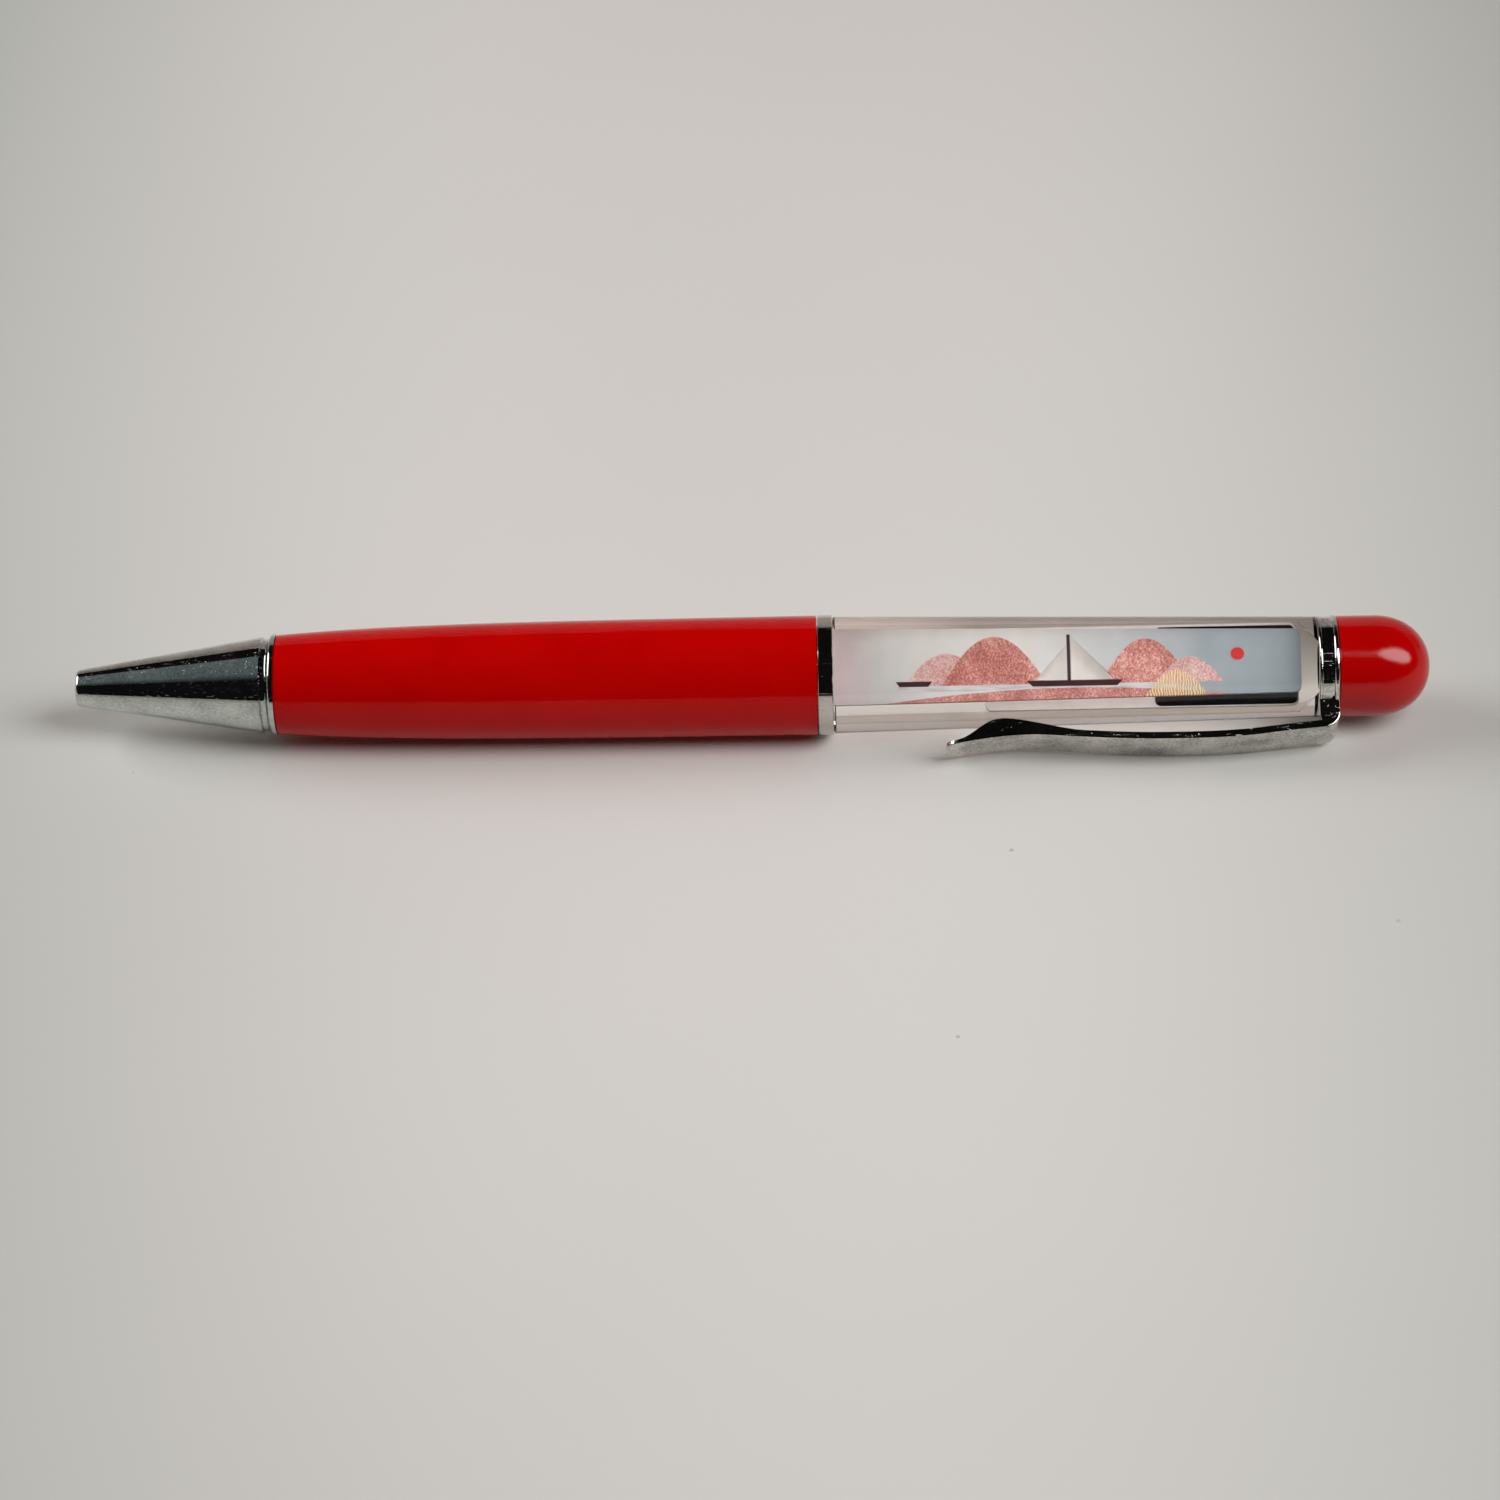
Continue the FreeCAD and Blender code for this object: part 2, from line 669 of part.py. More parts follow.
# the arm's root is cut to the collar's bore, so that it stays clear of the spigot
arm_block = arm_block.cut(rod(window_rear - 1, collar_rear + 1, collar_bore))
# lying at rest, the pen rolls until the arm's rounded edge meets the table beside the ring
edge_lift = clip_crown_lift - clip_edge_round
edge_aside = clip_root_half_width - clip_edge_round
edge_reach = math.hypot(edge_lift, edge_aside)
edge_turn = math.atan2(edge_aside, edge_lift)
clip_turn = 90 + math.degrees(math.asin((ring_radius - clip_edge_round) / edge_reach) - edge_turn)
clip = turn_about_pen(arm_block, clip_turn).fuse(collar)
clip = clip.removeSplitter()

# Cap: a hollow red dome whose socket is cemented over the rear spigot.
dome_start = collar_rear + cap_straight_length
dome = Part.BezierCurve()
dome.setPoles([at(dome_start, cap_radius), at(cap_end, cap_radius), at(cap_end, 0)])
dome.setWeight(2, cap_dome_fullness)
socket_radius = cap_spigot_radius + seat_gap
socket_end = collar_rear + cap_socket_depth
hollow_end = socket_end + cap_hollow_length
cap = turned([
    line((collar_rear, socket_radius), (collar_rear, cap_radius - cap_edge)),
    line((collar_rear, cap_radius - cap_edge), (collar_rear + cap_edge, cap_radius)),
    line((collar_rear + cap_edge, cap_radius), (dome_start, cap_radius)),
    dome.toShape(),
    line((cap_end, 0), (hollow_end, 0)),
    line((hollow_end, 0), (hollow_end, cap_hollow_radius - 1.2)),
    arc((hollow_end, cap_hollow_radius - 1.2),
        (hollow_end - 0.35, cap_hollow_radius - 0.35),
        (hollow_end - 1.2, cap_hollow_radius)),
    line((hollow_end - 1.2, cap_hollow_radius), (socket_end, cap_hollow_radius)),
    line((socket_end, cap_hollow_radius), (socket_end, socket_radius)),
    line((socket_end, socket_radius), (collar_rear, socket_radius)),
])

# Picture film: a clear strip with rounded corners, which tapers a little more than the chamber.
# The printed layer is bonded to its back and leaves the two sails clear.
film_turn = clip_turn - 90.0


def chamber_radius_at(x):
    share = (x - plug_face) / chamber_length
    return chamber_front_radius + share * (chamber_rear_radius - chamber_front_radius)


def half_chord(x, offset):
    return math.sqrt(chamber_radius_at(x) ** 2 - offset ** 2)


def rounded_strip(x_from, x_to, half_from, half_to, corner, low, high):
    # a flat strip along the pen whose four corners are rounded
    corners = [
        FreeCAD.Vector(x_from, -half_from, low),
        FreeCAD.Vector(x_to, -half_to, low),
        FreeCAD.Vector(x_to, half_to, low),
        FreeCAD.Vector(x_from, half_from, low),
    ]
    face = Part.Face(Part.makePolygon(corners + corners[:1]))
    strip = face.extrude(FreeCAD.Vector(0, 0, high - low))
    upright = [e for e in strip.Edges
               if abs(e.Vertexes[0].Point.z - e.Vertexes[-1].Point.z) > (high - low) / 2]
    return strip.makeFillet(corner, upright)


film_high = film_offset + film_thickness
print_low = film_offset - print_thickness
film_from = plug_face
film_to = chamber_rear
film_half_from = half_chord(film_from, film_high) - film_front_gap
film_half_to = half_chord(film_to, film_high) - film_rear_gap
picture_film = rounded_strip(film_from, film_to, film_half_from, film_half_to,
                             film_corner, film_offset, film_high)
picture_print = rounded_strip(film_from, film_to, film_half_from, film_half_to,
                              film_corner, print_low, film_offset)


def sail(mast_x, length, rise, lean):
    # one triangular sail, standing on its foot beside the mast
    foot = sail_foot_height
    points = [
        FreeCAD.Vector(mast_x, foot, print_low - 1),
        FreeCAD.Vector(mast_x + length, foot, print_low - 1),
        FreeCAD.Vector(mast_x + lean, foot + rise, print_low - 1),
    ]
    face = Part.Face(Part.makePolygon(points + points[:1]))
    return face.extrude(FreeCAD.Vector(0, 0, print_thickness + 2))


mast_x = plug_face + sail_mast_from_plug
main_sail = sail(mast_x + mast_gap / 2, main_sail_length, main_sail_rise, 0.1)
fore_sail = sail(mast_x - mast_gap / 2, -fore_sail_length, fore_sail_rise, -0.1)
picture_print = picture_print.cut(main_sail).cut(fore_sail)

# Float: a white strip with a black field on its rear half. It slides in the oil behind
# the picture, so that tipping the pen darkens the sails.
float_rear = chamber_rear - float_end_gap
float_length = chamber_length - float_travel - 2 * float_end_gap
float_front = float_rear - float_length
float_high = float_offset - shade_thickness
float_low = float_high - float_thickness
float_strip = rounded_strip(float_front, float_rear, float_half_width, float_half_width,
                            float_corner, float_low, float_high)
float_shade = rounded_strip(float_rear - shade_length, float_rear - shade_border,
                            float_half_width - shade_border, float_half_width - shade_border,
                            float_corner - shade_border, float_high, float_offset)

# Oil: fills the chamber round the film and leaves the float's whole path open.
float_path = Part.makeBox(float_length + float_travel + 2 * float_gap,
                          2 * (float_half_width + float_gap),
                          float_offset - float_low + 2 * float_gap,
                          FreeCAD.Vector(float_front - float_travel - float_gap,
                                         -float_half_width - float_gap, float_low - float_gap))
chamber_oil = chamber.copy()
chamber_oil = turn_about_pen(chamber_oil, film_turn)
film_space = rounded_strip(film_from, film_to, film_half_from, film_half_to,
                           film_corner, print_low, film_high)
for space in (film_space, float_path):
    chamber_oil = chamber_oil.cut(turn_about_pen(space, film_turn))
picture_film = turn_about_pen(picture_film, film_turn)
picture_print = turn_about_pen(picture_print, film_turn)
float_strip = turn_about_pen(float_strip, film_turn)
float_shade = turn_about_pen(float_shade, film_turn)

# One file for each piece
pieces = {
    "clear_barrel": clear_barrel,
    "chamber_oil": chamber_oil,
    "picture_film": picture_film,
    "picture_print": picture_print,
    "chamber_plug": chamber_plug,
    "plug_seal": plug_seal,
    "centre_ring": centre_ring,
    "cam_sleeve": cam_sleeve,
    "clip": clip,
    "cap": cap,
    "float_strip": float_strip,
    "float_shade": float_shade,
    "lower_barrel": lower_barrel,
    "nose_cone": nose_cone,
    "guide_tube": guide_tube,
    "return_spring": return_spring,
    "refill_carrier": refill_carrier,
    "refill_tube": refill_tube,
    "refill_point": refill_point,
    "writing_ball": writing_ball,
    "ink_column": ink_column,
    "ink_grease": ink_grease,
}
os.makedirs("parts", exist_ok=True)
for name, shape in pieces.items():
    shape.exportStep("parts/" + name + ".step")
    print(name, shape.isValid(), len(shape.Solids), round(shape.Volume, 2))
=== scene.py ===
import math

import bpy
from mathutils import Matrix, Vector


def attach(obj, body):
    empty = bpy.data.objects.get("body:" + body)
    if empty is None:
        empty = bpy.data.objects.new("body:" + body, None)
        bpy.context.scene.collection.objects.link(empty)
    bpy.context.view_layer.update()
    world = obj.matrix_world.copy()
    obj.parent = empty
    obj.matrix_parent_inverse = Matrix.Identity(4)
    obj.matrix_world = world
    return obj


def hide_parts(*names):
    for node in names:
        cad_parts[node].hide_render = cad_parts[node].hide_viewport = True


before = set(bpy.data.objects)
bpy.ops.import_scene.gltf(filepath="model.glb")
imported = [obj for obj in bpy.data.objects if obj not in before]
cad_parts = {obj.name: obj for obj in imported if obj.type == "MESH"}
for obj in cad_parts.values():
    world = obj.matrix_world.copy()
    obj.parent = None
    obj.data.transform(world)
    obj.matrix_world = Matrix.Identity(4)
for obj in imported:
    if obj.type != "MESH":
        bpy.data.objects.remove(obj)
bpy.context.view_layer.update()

# The camera looks down on the table from the front, at 40 degrees, from about half a metre
# away. It stands a little right of the picture's middle and is held slightly turned.
mm = 0.001
camera_height = math.radians(40.0)
camera_swing = math.radians(1.6)
camera_roll = math.radians(2.01)
camera_distance = 520 * mm
picture_width = 157.5 * mm
pen_right = 7.93 * mm
pen_above = 7.85 * mm
sensor_size = 36
towards_camera = Vector((
    math.sin(camera_swing) * math.cos(camera_height),
    -math.cos(camera_swing) * math.cos(camera_height),
    math.sin(camera_height),
))
camera_turn = towards_camera.to_track_quat("Z", "Y").to_matrix()
camera_turn = camera_turn @ Matrix.Rotation(-camera_roll, 3, "Z")
bpy.ops.object.camera_add(location=(0, 0, 0))
camera = bpy.context.object
camera.name = "camera"
camera.data.sensor_width = sensor_size
camera.data.lens = sensor_size * camera_distance / picture_width
camera.data.clip_start = 10 * mm
camera.rotation_euler = camera_turn.to_euler()
screen_right = camera_turn @ Vector((1, 0, 0))
screen_up = camera_turn @ Vector((0, 1, 0))
camera.location = (towards_camera * camera_distance
                   - screen_right * pen_right - screen_up * pen_above)
bpy.context.scene.camera = camera

# Lower barrel: a moulded shell of opaque red gloss plastic, with a faint moulding ripple and a
# few hair scratches from use. The guide tube is pressed into it, and a snap bead on the cam
# sleeve holds it on the clear half.


def srgb(red, green, blue):
    # a colour as it is read off the finished thing, from 0 to 255, by the sRGB curve
    parts = []
    for value in (red, green, blue):
        share = value / 255
        parts.append(share / 12.92 if share <= 0.04045 else ((share + 0.055) / 1.055) ** 2.4)
    return (*parts, 1)


def put(tree, kind, inputs, **settings):
    # adds a node; an input is given a value or wired to another node's output
    made = tree.nodes.new("ShaderNode" + kind)
    for name, value in settings.items():
        setattr(made, name, value)
    for name, value in inputs.items():
        if isinstance(value, bpy.types.NodeSocket):
            tree.links.new(value, made.inputs[name])
        else:
            made.inputs[name].default_value = value
    return made


def graded(tree, value, stops):
    # a colour or grey that changes with a value, from stops of (value, colour)
    ramp = put(tree, "ValToRGB", {"Fac": value})
    points = ramp.color_ramp.elements
    while len(points) < len(stops):
        points.new(1)
    for point, (place, colour) in zip(points, stops):
        point.position = place
        point.color = colour if hasattr(colour, "__len__") else (colour, colour, colour, 1)
    return ramp.outputs["Color"]


def new_finish(name, **plain):
    # a finish with the values that are the same all over the surface
    material = bpy.data.materials.new(name)
    material.use_nodes = True
    tree = material.node_tree
    shader = tree.nodes["Principled BSDF"]
    for key, value in plain.items():
        shader.inputs[key.replace("_", " ")].default_value = value
    place = tree.nodes.new("ShaderNodeTexCoord").outputs["Object"]
    return material, tree, shader, place


def grain(tree, place, size, detail=2.0, stretch=(1, 1, 1)):
    # a soft random pattern whose lumps are about one size across, in metres, and finer by the
    # stretch along each axis
    stretched = put(tree, "Mapping", {"Vector": place, "Scale": stretch}).outputs["Vector"]
    return put(tree, "TexNoise", {"Vector": stretched, "Scale": 1 / size,
                                  "Detail": detail}).outputs[0]


def vary(tree, shader, quality, pattern, stops):
    # lets a pattern change the finish's colour or roughness from place to place
    tree.links.new(graded(tree, pattern, stops), shader.inputs[quality])


def emboss(tree, shader, pattern, depth):
    # turns a pattern into relief of a depth in metres
    relief = put(tree, "Bump", {"Height": pattern, "Distance": depth, "Strength": 1.0})
    tree.links.new(relief.outputs["Normal"], shader.inputs["Normal"])


def coat_node(name, material):
    # gives a piece that keeps its shape from the frame its finish
    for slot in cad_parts[name].material_slots:
        slot.material = material


def red_gloss(name, red, relief, relief_size, shine):
    # red is the shade, from 0 to 255; relief is how deep its ripple is, in metres
    material, tree, shader, place = new_finish(name, IOR=1.46, Specular_IOR_Level=shine)
    vary(tree, shader, "Base Color", grain(tree, place, 6 * mm, 3),
         [(0.3, srgb(red - 4, 1, 1)), (0.7, srgb(red + 4, 3, 2))])
    scratches = grain(tree, place, 0.25 * mm, 4, (1, 6, 6))
    vary(tree, shader, "Roughness", scratches, [(0.45, 0.08), (0.62, 0.11), (0.75, 0.2)])
    emboss(tree, shader, grain(tree, place, relief_size, 3), relief)
    return material


coat_node("lower_barrel", red_gloss("red_barrel_gloss", red=182, relief=0.002 * mm,
                                    relief_size=1.6 * mm, shine=0.18))

# Nose cone: brass turned to a cone and chrome plated, screwed into the barrel's front end.
# Handling has left fine nicks on it, thick in some places and missing in others, and hair
# scratches that run along the pen.


def maths(tree, kind, a, b=0.0, c=0.0):
    # reckons with patterns, point by point
    return put(tree, "Math", {0: a, 1: b, 2: c}, operation=kind).outputs[0]


def chrome(name, wear, dull, bright):
    # plating in two shades; wear goes from 0 on a new piece to 1 on a much handled one
    material, tree, shader, place = new_finish(name, Metallic=1.0)
    clouds = grain(tree, place, 3 * mm, 3)
    grit = grain(tree, place, 0.28 * mm, 3)
    tarnish = put(tree, "Mix", {0: 0.5, 2: clouds, 3: grit}).outputs[0]
    vary(tree, shader, "Base Color", tarnish, [(0.36, dull), (0.64, bright)])
    patches = grain(tree, place, 3.5 * mm, 2)
    nick_size = maths(tree, "MULTIPLY_ADD", patches, 0.7 * wear, -0.24 * wear)
    dents = put(tree, "TexVoronoi", {"Vector": place, "Scale": 1 / (0.5 * mm)})
    nicks = maths(tree, "LESS_THAN", dents.outputs["Distance"], nick_size)
    hairs = graded(tree, grain(tree, place, 0.35 * mm, 3, (0.12, 2.2, 2.2)),
                   [(0.62, 0.0), (0.68, 1.0)])
    worn = maths(tree, "MAXIMUM", nicks, hairs)
    vary(tree, shader, "Roughness", worn, [(0.0, 0.04), (1.0, 0.08 + 0.2 * wear)])
    ripple = grain(tree, place, 0.6 * mm, 6)
    emboss(tree, shader, maths(tree, "SUBTRACT", ripple, worn), 0.003 * mm)
    return material


coat_node("nose_cone", chrome("scuffed_chrome", wear=0.9, dull=srgb(170, 173, 169),
                              bright=srgb(214, 218, 213)))

# Centre ring: a plain band of chrome-plated brass, slid on to the clear barrel's front
# spigot and held by it, so that it turns with the clear half.
coat_node("centre_ring", chrome("bright_chrome", wear=0.4, dull=srgb(190, 187, 180),
                                bright=srgb(205, 202, 196)))

# Clear barrel: thick acrylic, moulded in one piece with a spigot at each end. The oil nearly
# matches it, so the bore hardly shows and the whole bends light as one solid rod. Its upper
# rear side is tinted a faint brown as painted shade, for the shadowed table seen through it.
clear_front = -5.99 * mm
shoulder_x = 0.81 * mm
shoulder_edge = 0.15 * mm
window_rear = 51.32 * mm
clear_rear = 56.34 * mm
front_spigot_r = 5.2 * mm
window_front_r = 6.13 * mm
window_rear_r = 5.27 * mm
rear_spigot_r = 4.3 * mm
painted_shade_reach = 8.8 * mm


def drawn_rod(name, stations, sides):
    # a turned piece: a disc whose end face is drawn out along the pen, from station to station
    x, r = stations[0]
    bpy.ops.object.select_all(action="DESELECT")
    bpy.ops.mesh.primitive_circle_add(vertices=sides, radius=r, fill_type="NGON",
                                      location=(x, 0, 0), rotation=(0, math.pi / 2, 0))
    piece = bpy.context.object
    piece.name = piece.data.name = name
    bpy.ops.object.transform_apply(location=True, rotation=True, scale=True)
    bpy.ops.object.mode_set(mode="EDIT")
    bpy.ops.mesh.select_all(action="SELECT")
    for next_x, next_r in stations[1:]:
        bpy.ops.mesh.extrude_region_move(TRANSFORM_OT_translate={"value": (next_x - x, 0, 0)})
        bpy.ops.transform.resize(value=(1, next_r / r, next_r / r),
                                 center_override=(next_x, 0, 0))
        x, r = next_x, next_r
    bpy.ops.mesh.select_all(action="SELECT")
    bpy.ops.mesh.normals_make_consistent(inside=False)
    bpy.ops.object.mode_set(mode="OBJECT")
    bpy.ops.object.shade_smooth_by_angle(angle=math.radians(25))
    return piece


def rising(tree, value, low, high, curve="LINEAR"):
    # 0 up to one value, 1 from another one on, and a slope between them
    slope = put(tree, "MapRange", {"Value": value, "From Min": low, "From Max": high},
                interpolation_type=curve)
    return slope.outputs[0]


def laid_over(tree, under, over, share, way="MIX"):
    # one colour over another, with a share from 0 to 1
    mix = put(tree, "Mix", {0: share, 6: under, 7: over}, data_type="RGBA", blend_type=way)
    return mix.outputs[2]


def let_lamps_through(tree, shader, passed):
    # light from the lamps passes straight through the clear piece on its way to the picture
    path = tree.nodes.new("ShaderNodeLightPath")
    open_air = put(tree, "BsdfTransparent", {"Color": passed})
    mixed = put(tree, "MixShader", {"Fac": path.outputs["Is Shadow Ray"]})
    tree.links.new(shader.outputs[0], mixed.inputs[1])
    tree.links.new(open_air.outputs[0], mixed.inputs[2])
    tree.links.new(mixed.outputs[0], tree.nodes["Material Output"].inputs["Surface"])


clear_barrel = drawn_rod("clear_barrel_body", [
    (clear_front, front_spigot_r),
    (shoulder_x, front_spigot_r),
    (shoulder_x, window_front_r - shoulder_edge),
    (shoulder_x + shoulder_edge, window_front_r),
    (window_rear, window_rear_r),
    (window_rear, rear_spigot_r),
    (clear_rear, rear_spigot_r),
], sides=128)
acrylic, tree, shader, place = new_finish("clear_acrylic_moulding", IOR=1.49,
                                          Transmission_Weight=1.0)
flow = grain(tree, place, 5 * mm, 2, (0.3, 1, 1))
clear = graded(tree, flow, [(0.3, srgb(252, 248, 246)), (0.7, srgb(255, 252, 251))])
sides = put(tree, "SeparateXYZ", {"Vector": place}).outputs
# painted shade: the rod's upper rear side is tinted a faint brown, darkening it there
upper_rear = maths(tree, "ADD", sides["Y"], sides["Z"])
painted_shade_tint = graded(tree, rising(tree, upper_rear, 0.0, painted_shade_reach),
               [(0.45, (1, 1, 1, 1)), (0.85, srgb(224, 208, 202))])
tree.links.new(laid_over(tree, clear, painted_shade_tint, 1.0, "MULTIPLY"), shader.inputs["Base Color"])
vary(tree, shader, "Roughness", grain(tree, place, 0.2 * mm, 5, (0.2, 2, 2)),
     [(0.5, 0.0), (0.8, 0.03)])
emboss(tree, shader, flow, 0.001 * mm)
let_lamps_through(tree, shader, (0.91, 0.87, 0.86, 1))
clear_barrel.data.materials.append(acrylic)
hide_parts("clear_barrel")
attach(clear_barrel, "upper")

# Oil: a clear mineral oil that fills the chamber and its drawn-in cone. It shows only as
# faint lines, where the bore is seen edge on.
chamber_front = 0.4 * mm
chamber_rear = 49.6 * mm
cone_tip = 52.5 * mm
chamber_front_r = 3.5 * mm
chamber_rear_r = 3.17 * mm
cone_tip_r = 1.16 * mm
bore_gap = 0.02 * mm
oil = drawn_rod("chamber_oil_fill", [
    (chamber_front + bore_gap, chamber_front_r - bore_gap),
    (chamber_rear, chamber_rear_r - bore_gap),
    (cone_tip - bore_gap, cone_tip_r - bore_gap),
], sides=96)
oil_finish, tree, shader, place = new_finish("clear_mineral_oil", IOR=1.04,
                                             Transmission_Weight=1.0, Roughness=0.0)
vary(tree, shader, "Base Color", grain(tree, place, 8 * mm, 2, (0.3, 1, 1)),
     [(0.3, srgb(251, 249, 243)), (0.7, srgb(254, 253, 250))])
let_lamps_through(tree, shader, (0.99, 0.99, 0.98, 1))
oil.data.materials.append(oil_finish)
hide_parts("chamber_oil")
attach(oil, "upper")

# Plug and seal: the plug is moulded in the barrel's red plastic and closes the chamber, with
# a black rubber ring in its groove.
coat_node("chamber_plug", red_gloss("red_plug_plastic_gloss", red=182, relief=0.004 * mm,
                                    relief_size=0.8 * mm, shine=0.4))
rubber, tree, shader, place = new_finish("black_rubber_ring", Specular_IOR_Level=0.3)
vary(tree, shader, "Base Color", grain(tree, place, 0.3 * mm),
     [(0.3, srgb(16, 16, 17)), (0.7, srgb(30, 30, 31))])
vary(tree, shader, "Roughness", grain(tree, place, 0.1 * mm), [(0.3, 0.45), (0.7, 0.65)])
emboss(tree, shader, grain(tree, place, 0.08 * mm, 3), 0.004 * mm)
coat_node("plug_seal", rubber)

# Picture: a clear film, printed on its back with a boat on a bay between rosy dunes. The
# boat's sails are left clear, so that the float behind them shows through. The film lies
# turned towards the eye in the front half of the chamber.
film_turn = math.radians(28.05)
film_front = 0.4 * mm
film_rear = 49.6 * mm
film_low = 0.92 * mm
film_high = 1.05 * mm
film_half_front = 3.159 * mm
film_half_rear = 2.591 * mm
film_corner = 0.7 * mm


def select_only(piece, kind, wanted):
    # in edit mode, selects the faces or edges whose corners pass a test, and nothing else
    bpy.ops.object.mode_set(mode="EDIT")
    bpy.ops.mesh.select_mode(type=kind)
    bpy.ops.mesh.select_all(action="DESELECT")
    bpy.ops.object.mode_set(mode="OBJECT")
    for part in (piece.data.polygons if kind == "FACE" else piece.data.edges):
        part.select = wanted([piece.data.vertices[i].co for i in part.vertices])
    bpy.ops.object.mode_set(mode="EDIT")


bpy.ops.object.select_all(action="DESELECT")
bpy.ops.mesh.primitive_cube_add(size=1, location=((film_front + film_rear) / 2, 0,
                                                  (film_low + film_high) / 2))
film = bpy.context.object
film.name = film.data.name = "clear_picture_film"
film.scale = (film_rear - film_front, 2 * film_half_front, film_high - film_low)
bpy.ops.object.transform_apply(location=True, rotation=True, scale=True)
select_only(film, "FACE", lambda corners: all(c.x > film_rear - film_corner for c in corners))
bpy.ops.transform.resize(value=(1, film_half_rear / film_half_front, 1),
                         center_override=(film_rear, 0, 0))
select_only(film, "EDGE", lambda ends: abs(ends[0].z - ends[1].z) > (film_high - film_low) / 2)
bpy.ops.mesh.bevel(offset=film_corner, segments=6, affect="EDGES")
bpy.ops.mesh.select_all(action="SELECT")
bpy.ops.transform.rotate(value=-film_turn, orient_axis="X", center_override=(0, 0, 0))
bpy.ops.mesh.normals_make_consistent(inside=False)
bpy.ops.object.mode_set(mode="OBJECT")
bpy.ops.object.shade_smooth_by_angle(angle=math.radians(25))
film_finish, tree, shader, place = new_finish("clear_film_sheet", IOR=1.06,
                                              Transmission_Weight=1.0, Roughness=0.0)
vary(tree, shader, "Base Color", grain(tree, place, 2 * mm),
     [(0.3, srgb(248, 248, 246)), (0.7, srgb(253, 253, 252))])
let_lamps_through(tree, shader, (0.99, 0.99, 0.99, 1))
film.data.materials.append(film_finish)
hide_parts("picture_film")
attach(film, "upper")

# the print is laid out in its own plane, in millimetres along the pen and up across it
card_length = 50.0
card_top = 9.0
waterline = -1.45
ground = -1.6
bay_left, bay_right, bay_foot = 7.6, 36.5, -1.95
boat_at = 26.0
dinghy_at = 9.2
mast_left, mast_right, mast_foot, mast_top = 25.22, 25.58, -1.2, 2.4
sun_at, sun_up, sun_r = 43.0, 0.75, 0.72
rod_magnifies = 1.49
deepest = 99.0
print_finish, tree, shader, place = new_finish("printed_card", Roughness=0.42,
                                               Specular_IOR_Level=0.3)
flat = put(tree, "Mapping", {"Vector": place, "Rotation": (-film_turn, 0, 0),
                             "Scale": (1 / mm, 1 / mm, 1 / mm)}).outputs["Vector"]
spot = put(tree, "SeparateXYZ", {"Vector": flat}).outputs
along, up = spot["X"], spot["Y"]


def work(kind, a, b=0.0, c=0.0):
    return maths(tree, kind, a, b, c)


def between(value, low, high, soft=0.05):
    # 1 inside a range, with soft edges
    rise = put(tree, "MapRange", {"Value": value, "From Min": low - soft, "From Max": low + soft})
    fall = put(tree, "MapRange", {"Value": value, "From Min": high - soft,
                                  "From Max": high + soft, "To Min": 1.0, "To Max": 0.0})
    return work("MULTIPLY", rise.outputs[0], fall.outputs[0])


def inside(depth, soft=0.04):
    # 1 where a point lies inside an outline, given how far inside it is
    return between(depth, 0.0, deepest, soft)


def hill(middle, half, height, foot):
    # how far a point lies below a rounded hill's outline
    x = work("DIVIDE", work("SUBTRACT", along, middle), half)
    dome = work("SUBTRACT", 1.0, work("MULTIPLY", x, x))
    return work("SUBTRACT", work("MULTIPLY_ADD", dome, height, foot), up)


def hull(middle, keel, deck, lift, flare, half):
    # the side of a boat, whose ends lean outwards from keel to deck
    reach = work("MULTIPLY_ADD", work("ADD", up, lift), flare, half)
    off_middle = work("ABSOLUTE", work("SUBTRACT", along, middle))
    return work("MULTIPLY", between(up, keel, deck, 0.02),
                inside(work("SUBTRACT", reach, off_middle), 0.03))


# the print's ground; its front few millimetres carry painted reflection of the red plug and
# painted shadow of the centre ring, pink and darker
picture = graded(tree, work("DIVIDE", along, card_length), [
    (0.0, srgb(182, 172, 177)), (0.07, srgb(180, 174, 177)), (0.12, srgb(178, 180, 181)),
    (0.4, srgb(192, 193, 195)), (0.66, srgb(158, 166, 172)), (0.8, srgb(132, 144, 152)),
    (1.0, srgb(130, 142, 151)),
])
shading = grain(tree, flat, 2.6, 2)
fleck = grain(tree, flat, 0.19, 1)
tone = work("MULTIPLY_ADD", fleck, 1.5, work("MULTIPLY_ADD", shading, 1.1, -0.85))
rose = graded(tree, tone, [(0.1, srgb(140, 80, 74)), (0.5, srgb(174, 116, 110)),
                           (0.9, srgb(206, 164, 158))])
pale_rose = graded(tree, tone, [(0.1, srgb(164, 118, 116)), (0.9, srgb(204, 180, 180))])
for middle, half, height, ink in ((12.6, 4.6, 2.7, pale_rose), (17.6, 5.6, 3.9, rose),
                                  (33.4, 4.8, 3.6, rose), (38.0, 3.6, 2.2, pale_rose)):
    above_water = between(up, waterline, card_top, 0.04)
    dune = inside(hill(middle, half, height, ground))
    picture = laid_over(tree, picture, ink, work("MULTIPLY", dune, above_water))
ripples = grain(tree, flat, 0.8, 2, (0.25, 2.2, 1))
sea = graded(tree, ripples, [(0.4, srgb(160, 163, 172)), (0.6, srgb(184, 186, 190))])
picture = laid_over(tree, picture, sea,
                    work("MULTIPLY", between(up, bay_foot, waterline, 0.03),
                         between(along, bay_left, bay_right, 0.3)))
near_dune = hill(middle=26.0, half=15.0, height=0.75, foot=-2.55)
picture = laid_over(tree, picture, rose, inside(near_dune))
boat = hull(boat_at, keel=-1.65, deck=-1.13, lift=1.75, flare=1.2, half=4.3)
mast = work("MULTIPLY", between(up, mast_foot, mast_top, 0.03),
            between(along, mast_left, mast_right, 0.03))
dinghy = hull(dinghy_at, keel=-1.5, deck=-1.05, lift=1.5, flare=0.9, half=1.5)
picture = laid_over(tree, picture, srgb(50, 20, 26),
                    work("MAXIMUM", work("MAXIMUM", boat, mast), dinghy))
